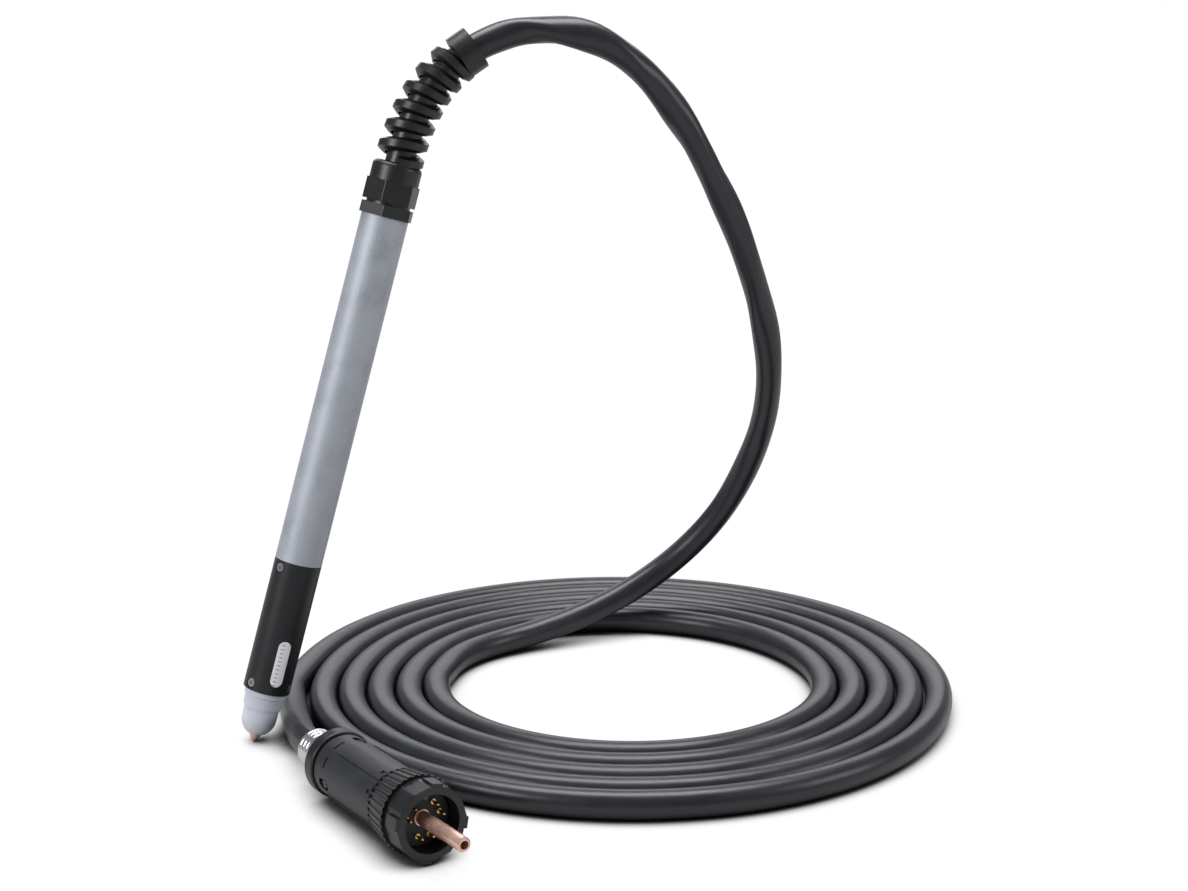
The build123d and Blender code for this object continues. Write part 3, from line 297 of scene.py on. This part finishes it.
# Swirl ring. Brown phenolic resin, machined, hidden between the nozzle and the head.
phenolic, tree, shader = start_material("machined_phenolic")
place = add_node(tree, "ShaderNodeTexCoord").outputs["Object"]
fibre = add_node(tree, "ShaderNodeTexNoise", {"Vector": place}, Scale=900, Detail=4)
tint = add_node(tree, "ShaderNodeValToRGB", {"Fac": fibre.outputs["Fac"]})
tint.color_ramp.elements[0].color = linear("#6B3F22")
tint.color_ramp.elements[1].color = linear("#93603A")
tree.links.new(tint.outputs["Color"], shader.inputs["Base Color"])
shader.inputs["Roughness"].default_value = 0.5
dress("swirl_ring", phenolic)

# Head insert and the crimp of the inner lead. Turned brass, yellow and fairly bright.
brass, tree, shader = start_material("turned_brass")
place = add_node(tree, "ShaderNodeTexCoord").outputs["Object"]
smear = add_node(tree, "ShaderNodeTexNoise", {"Vector": place}, Scale=260, Detail=3)
tint = add_node(tree, "ShaderNodeValToRGB", {"Fac": smear.outputs["Fac"]})
tint.color_ramp.elements[0].color = linear("#B08B45")
tint.color_ramp.elements[1].color = linear("#D2B068")
tree.links.new(tint.outputs["Color"], shader.inputs["Base Color"])
shader.inputs["Metallic"].default_value = 1
shader.inputs["Roughness"].default_value = 0.3
for node in ("head_insert", "lead_crimp"):
    dress(node, brass)

# Soft seals and the inner leads. Black nitrile rubber, matt, with a bloom of grey.
nitrile, tree, shader = start_material("nitrile_rubber")
place = add_node(tree, "ShaderNodeTexCoord").outputs["Object"]
bloom = add_node(tree, "ShaderNodeTexNoise", {"Vector": place}, Scale=300, Detail=4)
tint = add_node(tree, "ShaderNodeValToRGB", {"Fac": bloom.outputs["Fac"]})
tint.color_ramp.elements[0].color = linear("#151516")
tint.color_ramp.elements[1].color = linear("#2C2C2E")
tree.links.new(tint.outputs["Color"], shader.inputs["Base Color"])
shader.inputs["Roughness"].default_value = 0.7
for node in ("head_o_ring", "gland_seal", "power_lead", "plug_lead"):
    dress(node, nitrile)

# Pilot and sensing wires. Red silicone insulation on stranded wire, satin.
silicone, tree, shader = start_material("silicone_insulation")
place = add_node(tree, "ShaderNodeTexCoord").outputs["Object"]
mottle = add_node(tree, "ShaderNodeTexNoise", {"Vector": place}, Scale=500, Detail=2)
tint = add_node(tree, "ShaderNodeValToRGB", {"Fac": mottle.outputs["Fac"]})
tint.color_ramp.elements[0].color = linear("#8C1F1A")
tint.color_ramp.elements[1].color = linear("#A62C24")
tree.links.new(tint.outputs["Color"], shader.inputs["Base Color"])
shader.inputs["Roughness"].default_value = 0.55
dress("pilot_wires", silicone)

# Head sleeve. Turned from black acetal and left satin: very dark, with a soft sheen and
# faint rings from the lathe that only the grazing light finds.
acetal, tree, shader = start_material("turned_black_acetal")
place = add_node(tree, "ShaderNodeTexCoord").outputs["Object"]
cloud = add_node(tree, "ShaderNodeTexNoise", {"Vector": place}, Scale=45, Detail=4)
tint = add_node(tree, "ShaderNodeValToRGB", {"Fac": cloud.outputs["Fac"]})
tint.color_ramp.elements[0].position = 0.3
tint.color_ramp.elements[0].color = linear("#0F1013")
tint.color_ramp.elements[1].position = 0.75
tint.color_ramp.elements[1].color = linear("#191A1E")
axial = add_node(tree, "ShaderNodeVectorMath", {0: place}, operation="DOT_PRODUCT")
axial.inputs[1].default_value = torch_axis
lathe = add_node(tree, "ShaderNodeTexNoise", {"W": axial.outputs["Value"]}, noise_dimensions="1D", Scale=1500, Detail=1)
gloss = add_node(tree, "ShaderNodeMapRange", {"Value": cloud.outputs["Fac"]}, To_Min=0.36, To_Max=0.5)
relief = add_node(tree, "ShaderNodeBump", {"Height": lathe.outputs["Fac"]}, Strength=0.05, Distance=0.0002)
tree.links.new(tint.outputs["Color"], shader.inputs["Base Color"])
tree.links.new(gloss.outputs["Result"], shader.inputs["Roughness"])
tree.links.new(relief.outputs["Normal"], shader.inputs["Normal"])
shader.inputs["IOR"].default_value = 1.48
dress("head_sleeve", acetal)

# Screws of the sleeve. Steel under bright zinc, slightly clouded, with the sheen of the plating.
zinc, tree, shader = start_material("zinc_plated_steel")
place = add_node(tree, "ShaderNodeTexCoord").outputs["Object"]
cloud = add_node(tree, "ShaderNodeTexNoise", {"Vector": place}, Scale=800, Detail=3)
gloss = add_node(tree, "ShaderNodeMapRange", {"Value": cloud.outputs["Fac"]}, To_Min=0.2, To_Max=0.34)
tree.links.new(gloss.outputs["Result"], shader.inputs["Roughness"])
shader.inputs["Base Color"].default_value = linear("#B9BBBE")
shader.inputs["Metallic"].default_value = 1
dress("sleeve_screws", zinc)

# Screws of the plug shell, the clip and the hose clamp. Steel with a dark oxide finish that
# has rubbed bright in small scattered patches.
oxide, tree, shader = start_material("oxide_black_steel")
place = add_node(tree, "ShaderNodeTexCoord").outputs["Object"]
rub = add_node(tree, "ShaderNodeTexNoise", {"Vector": place}, Scale=1200, Detail=3)
tint = add_node(tree, "ShaderNodeValToRGB", {"Fac": rub.outputs["Fac"]})
tint.color_ramp.elements[0].position = 0.4
tint.color_ramp.elements[0].color = linear("#2E2F32")
tint.color_ramp.elements[1].position = 0.8
tint.color_ramp.elements[1].color = linear("#8A8B8F")
tree.links.new(tint.outputs["Color"], shader.inputs["Base Color"])
shader.inputs["Metallic"].default_value = 1
shader.inputs["Roughness"].default_value = 0.32
for node in ("shell_screws", "nut_clip", "hose_clamp"):
    dress(node, oxide)

# Label plate. White vinyl film, let in flush, with a plain scale of short thin grey ticks
# printed along one of its long edges.
vinyl, tree, shader = start_material("printed_vinyl")
tick_step = 0.0031
tick_thickness = 0.0006
tick_length = 0.0026
label_low, label_high = (Vector(corner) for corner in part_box("label_plate"))
label_middle = (label_low + label_high) / 2
label_outward = label_middle - torch_start - coil_middle
label_across = label_outward.cross(torch_axis).normalized()
place = add_node(tree, "ShaderNodeTexCoord").outputs["Object"]
axial = add_node(tree, "ShaderNodeVectorMath", {0: place}, operation="DOT_PRODUCT")
axial.inputs[1].default_value = torch_axis
sideways = add_node(tree, "ShaderNodeVectorMath", {0: place}, operation="DOT_PRODUCT")
sideways.inputs[1].default_value = label_across
steps = add_node(tree, "ShaderNodeMath", {0: axial.outputs["Value"]}, operation="DIVIDE")
steps.inputs[1].default_value = tick_step
step_part = add_node(tree, "ShaderNodeMath", {0: steps.outputs["Value"]}, operation="FRACT")
in_step = add_node(tree, "ShaderNodeMath", {0: step_part.outputs["Value"]}, operation="LESS_THAN")
in_step.inputs[1].default_value = tick_thickness / tick_step
in_column = add_node(tree, "ShaderNodeMath", {0: sideways.outputs["Value"]}, operation="COMPARE")
in_column.inputs[1].default_value = label_middle.dot(label_across) + tick_length / 2
in_column.inputs[2].default_value = tick_length / 2
tick = add_node(tree, "ShaderNodeMath", {0: in_step.outputs["Value"], 1: in_column.outputs["Value"]}, operation="MULTIPLY")
tint = add_node(tree, "ShaderNodeMix", {"Factor": tick.outputs["Value"]}, data_type="RGBA")
tint.inputs[6].default_value = linear("#FBFBFC")
tint.inputs[7].default_value = linear("#85878B")
tree.links.new(tint.outputs[2], shader.inputs["Base Color"])
shader.inputs["Roughness"].default_value = 0.35
dress("label_plate", vinyl)

# Tube joiner. Moulded glass-filled nylon, natural grey, hidden in the tube.
filled_nylon, tree, shader = start_material("glass_filled_nylon")
place = add_node(tree, "ShaderNodeTexCoord").outputs["Object"]
fibre = add_node(tree, "ShaderNodeTexNoise", {"Vector": place}, Scale=1400, Detail=4)
tint = add_node(tree, "ShaderNodeValToRGB", {"Fac": fibre.outputs["Fac"]})
tint.color_ramp.elements[0].color = linear("#8E8E90")
tint.color_ramp.elements[1].color = linear("#B1B1B2")
tree.links.new(tint.outputs["Color"], shader.inputs["Base Color"])
shader.inputs["Roughness"].default_value = 0.6
dress("tube_joiner", filled_nylon)

# Torch tube. Drawn aluminium, bead blasted and clear anodised: an even satin grey whose
# fine pitting breaks the light into a soft speckle.
anodised, tree, shader = start_material("blasted_anodised_aluminium")
place = add_node(tree, "ShaderNodeTexCoord").outputs["Object"]
blast = add_node(tree, "ShaderNodeTexNoise", {"Vector": place}, Scale=1500, Detail=3)
cloud = add_node(tree, "ShaderNodeTexNoise", {"Vector": place}, Scale=40, Detail=5)
both = add_node(tree, "ShaderNodeMath", {0: blast.outputs["Fac"], 1: cloud.outputs["Fac"]}, operation="ADD")
tint = add_node(tree, "ShaderNodeValToRGB", {"Fac": both.outputs["Value"]})
tint.color_ramp.elements[0].position = 0.7
tint.color_ramp.elements[0].color = linear("#9FA3AB")
tint.color_ramp.elements[1].position = 1.0
tint.color_ramp.elements[1].color = linear("#B6BAC2")
gloss = add_node(tree, "ShaderNodeMapRange", {"Value": cloud.outputs["Fac"]}, To_Min=0.5, To_Max=0.62)
relief = add_node(tree, "ShaderNodeBump", {"Height": blast.outputs["Fac"]}, Strength=0.25, Distance=0.0002)
tree.links.new(tint.outputs["Color"], shader.inputs["Base Color"])
tree.links.new(gloss.outputs["Result"], shader.inputs["Roughness"])
tree.links.new(relief.outputs["Normal"], shader.inputs["Normal"])
shader.inputs["Metallic"].default_value = 0.55
dress("torch_tube", anodised)

# Cable gland, bend guard, cap and coupling nut. Black nylon, injection moulded: fairly glossy
# on its edges, with a fine spark-eroded grain on the flats.
nylon, tree, shader = start_material("moulded_black_nylon")
place = add_node(tree, "ShaderNodeTexCoord").outputs["Object"]
cloud = add_node(tree, "ShaderNodeTexNoise", {"Vector": place}, Scale=90, Detail=4)
tint = add_node(tree, "ShaderNodeValToRGB", {"Fac": cloud.outputs["Fac"]})
tint.color_ramp.elements[0].position = 0.3
tint.color_ramp.elements[0].color = linear("#0A0B0D")
tint.color_ramp.elements[1].position = 0.75
tint.color_ramp.elements[1].color = linear("#141518")
spark = add_node(tree, "ShaderNodeTexNoise", {"Vector": place}, Scale=1700, Detail=3)
gloss = add_node(tree, "ShaderNodeMapRange", {"Value": cloud.outputs["Fac"]}, To_Min=0.3, To_Max=0.44)
relief = add_node(tree, "ShaderNodeBump", {"Height": spark.outputs["Fac"]}, Strength=0.12, Distance=0.0002)
tree.links.new(tint.outputs["Color"], shader.inputs["Base Color"])
tree.links.new(gloss.outputs["Result"], shader.inputs["Roughness"])
tree.links.new(relief.outputs["Normal"], shader.inputs["Normal"])
shader.inputs["IOR"].default_value = 1.53
for node in ("gland_body", "gland_nut", "plug_cap", "coupling_nut"):
    dress(node, nylon)

# Plug shell. The same family of nylon with more glass in it, so it is greyer and duller.
shell_nylon, tree, shader = start_material("moulded_shell_nylon")
place = add_node(tree, "ShaderNodeTexCoord").outputs["Object"]
cloud = add_node(tree, "ShaderNodeTexNoise", {"Vector": place}, Scale=80, Detail=4)
tint = add_node(tree, "ShaderNodeValToRGB", {"Fac": cloud.outputs["Fac"]})
tint.color_ramp.elements[0].position = 0.3
tint.color_ramp.elements[0].color = linear("#1A1B1F")
tint.color_ramp.elements[1].position = 0.75
tint.color_ramp.elements[1].color = linear("#27282D")
spark = add_node(tree, "ShaderNodeTexNoise", {"Vector": place}, Scale=1500, Detail=3)
gloss = add_node(tree, "ShaderNodeMapRange", {"Value": cloud.outputs["Fac"]}, To_Min=0.4, To_Max=0.52)
relief = add_node(tree, "ShaderNodeBump", {"Height": spark.outputs["Fac"]}, Strength=0.15, Distance=0.0002)
tree.links.new(tint.outputs["Color"], shader.inputs["Base Color"])
tree.links.new(gloss.outputs["Result"], shader.inputs["Roughness"])
tree.links.new(relief.outputs["Normal"], shader.inputs["Normal"])
shader.inputs["IOR"].default_value = 1.53
dress("plug_shell", shell_nylon)

# Strain ferrule. Stainless steel, turned and polished: it mirrors the room in bright bands.
stainless, tree, shader = start_material("polished_stainless")
place = add_node(tree, "ShaderNodeTexCoord").outputs["Object"]
scuff = add_node(tree, "ShaderNodeTexNoise", {"Vector": place}, Scale=700, Detail=3)
gloss = add_node(tree, "ShaderNodeMapRange", {"Value": scuff.outputs["Fac"]}, To_Min=0.16, To_Max=0.26)
tree.links.new(gloss.outputs["Result"], shader.inputs["Roughness"])
shader.inputs["Base Color"].default_value = linear("#D2D3D5")
shader.inputs["Metallic"].default_value = 1
dress("strain_ferrule", stainless)

# Insulator. Black thermoset disc that carries the contacts, moulded nearly matt.
thermoset, tree, shader = start_material("black_thermoset")
place = add_node(tree, "ShaderNodeTexCoord").outputs["Object"]
speck = add_node(tree, "ShaderNodeTexNoise", {"Vector": place}, Scale=900, Detail=3)
tint = add_node(tree, "ShaderNodeValToRGB", {"Fac": speck.outputs["Fac"]})
tint.color_ramp.elements[0].color = linear("#0E0E10")
tint.color_ramp.elements[1].color = linear("#1C1C1F")
tree.links.new(tint.outputs["Color"], shader.inputs["Base Color"])
shader.inputs["Roughness"].default_value = 0.5
dress("insulator", thermoset)

# Contact pins and their sleeves. Brass with a thin layer of gold, bright yellow.
gold, tree, shader = start_material("gold_plated_brass")
place = add_node(tree, "ShaderNodeTexCoord").outputs["Object"]
wear = add_node(tree, "ShaderNodeTexNoise", {"Vector": place}, Scale=900, Detail=2)
tint = add_node(tree, "ShaderNodeValToRGB", {"Fac": wear.outputs["Fac"]})
tint.color_ramp.elements[0].color = linear("#D8B15C")
tint.color_ramp.elements[1].color = linear("#EFCF8A")
tree.links.new(tint.outputs["Color"], shader.inputs["Base Color"])
shader.inputs["Metallic"].default_value = 1
shader.inputs["Roughness"].default_value = 0.22
for node in ("contact_pins", "pin_sleeves"):
    dress(node, gold)

# Key posts. Grey nylon, so that they can be found by eye among the contacts.
grey_nylon, tree, shader = start_material("moulded_grey_nylon")
place = add_node(tree, "ShaderNodeTexCoord").outputs["Object"]
cloud = add_node(tree, "ShaderNodeTexNoise", {"Vector": place}, Scale=500, Detail=3)
tint = add_node(tree, "ShaderNodeValToRGB", {"Fac": cloud.outputs["Fac"]})
tint.color_ramp.elements[0].color = linear("#4E514F")
tint.color_ramp.elements[1].color = linear("#666A67")
tree.links.new(tint.outputs["Color"], shader.inputs["Base Color"])
shader.inputs["Roughness"].default_value = 0.45
dress("key_posts", grey_nylon)

# Floor and light. A white studio floor that runs out of sight, lit by a large soft box above
# and behind, a square one at the left and a weak one at the right. The floor glows by itself
# except in narrow gaps and close to what stands on it, so the soft contact shadow is kept;
# there the floor's own grey is darkened by ambient occlusion, which is painted shade.
floor_mesh = bpy.data.meshes.new("studio_floor")
floor_mesh.from_pydata([(-20, -20, 0), (20, -20, 0), (20, 20, 0), (-20, 20, 0)], [], [(0, 1, 2, 3)])
floor = bpy.data.objects.new("studio_floor", floor_mesh)
floor.location.z = -0.0003
bpy.context.scene.collection.objects.link(floor)
paper = bpy.data.materials.new("white_paper")
paper.use_nodes = True
tree = paper.node_tree
tree.nodes.clear()
seen_by = add_node(tree, "ShaderNodeLightPath").outputs
mirrored = add_node(tree, "ShaderNodeMath", {0: seen_by["Is Glossy Ray"]}, operation="MULTIPLY")
mirrored.inputs[1].default_value = 0.5
seen_first = add_node(tree, "ShaderNodeMath", {0: seen_by["Is Camera Ray"], 1: mirrored.outputs["Value"]}, operation="MAXIMUM")
seen = add_node(tree, "ShaderNodeMath", {0: seen_first.outputs["Value"], 1: seen_by["Is Transmission Ray"]}, operation="MAXIMUM")
# Ambient occlusion darkens the floor's grey in narrow gaps and beside the parts: painted shade. It also sets where the
# glow gives way.
occlusion_painted_shade = add_node(tree, "ShaderNodeAmbientOcclusion", Color=linear("#A8A8A8"), Distance=0.035)
place = add_node(tree, "ShaderNodeTexCoord").outputs["Object"]
away = add_node(tree, "ShaderNodeVectorMath", {0: place}, operation="LENGTH")
near_glow = add_node(tree, "ShaderNodeMapRange", {"Value": occlusion_painted_shade.outputs["AO"]}, From_Min=0.3, From_Max=0.75, To_Min=0.0, To_Max=0.94)
far_glow = add_node(tree, "ShaderNodeMapRange", {"Value": away.outputs["Value"]}, From_Min=0.4, From_Max=1.1, To_Min=0.0, To_Max=1.0)
glow_share = add_node(tree, "ShaderNodeMath", {0: near_glow.outputs["Result"], 1: far_glow.outputs["Result"]}, operation="MAXIMUM")
share = add_node(tree, "ShaderNodeMath", {0: seen.outputs["Value"], 1: glow_share.outputs["Value"]}, operation="MULTIPLY")
matt = add_node(tree, "ShaderNodeBsdfDiffuse", {"Color": occlusion_painted_shade.outputs["Color"]})
glow = add_node(tree, "ShaderNodeEmission", Color=(1, 1, 1, 1), Strength=1.04)
mixed = add_node(
    tree,
    "ShaderNodeMixShader",
    {0: share.outputs["Value"], 1: matt.outputs["BSDF"], 2: glow.outputs["Emission"]},
)
add_node(tree, "ShaderNodeOutputMaterial", {"Surface": mixed.outputs["Shader"]})
floor_mesh.materials.append(paper)

world = bpy.data.worlds.new("white_studio")
world.use_nodes = True
tree = world.node_tree
tree.nodes.clear()
seen_by = add_node(tree, "ShaderNodeLightPath").outputs
seen_first = add_node(tree, "ShaderNodeMath", {0: seen_by["Is Camera Ray"], 1: seen_by["Is Transmission Ray"]}, operation="MAXIMUM")
dim = add_node(tree, "ShaderNodeBackground", Color=(0.93, 0.95, 1, 1), Strength=0.28)
bright = add_node(tree, "ShaderNodeBackground", Color=(1, 1, 1, 1), Strength=1.0)
mixed = add_node(
    tree,
    "ShaderNodeMixShader",
    {0: seen_first.outputs["Value"], 1: dim.outputs["Background"], 2: bright.outputs["Background"]},
)
add_node(tree, "ShaderNodeOutputWorld", {"Surface": mixed.outputs["Shader"]})
bpy.context.scene.world = world

for name, place, width, depth, power in (
    ("top_box", (0.1, 0.3, 2.1), 1.8, 1.0, 48),
    ("back_box", (0.1, 2.7, 1.5), 3.4, 1.4, 26),
    ("left_box", (-1.6, -1.4, 1.2), 0.9, 0.9, 24),
    ("right_box", (2.1, -0.5, 1.0), 0.9, 0.9, 8),
):
    light = bpy.data.lights.new(name, "AREA")
    light.shape = "RECTANGLE"
    light.size = width
    light.size_y = depth
    light.energy = power
    lamp = bpy.data.objects.new(name, light)
    lamp.location = place
    towards = Vector((0.1, 0, 0.15)) - lamp.location
    lamp.rotation_euler = towards.to_track_quat("-Z", "Y").to_euler()
    lamp.visible_camera = False
    bpy.context.scene.collection.objects.link(lamp)

bpy.context.scene.view_settings.view_transform = "Standard"
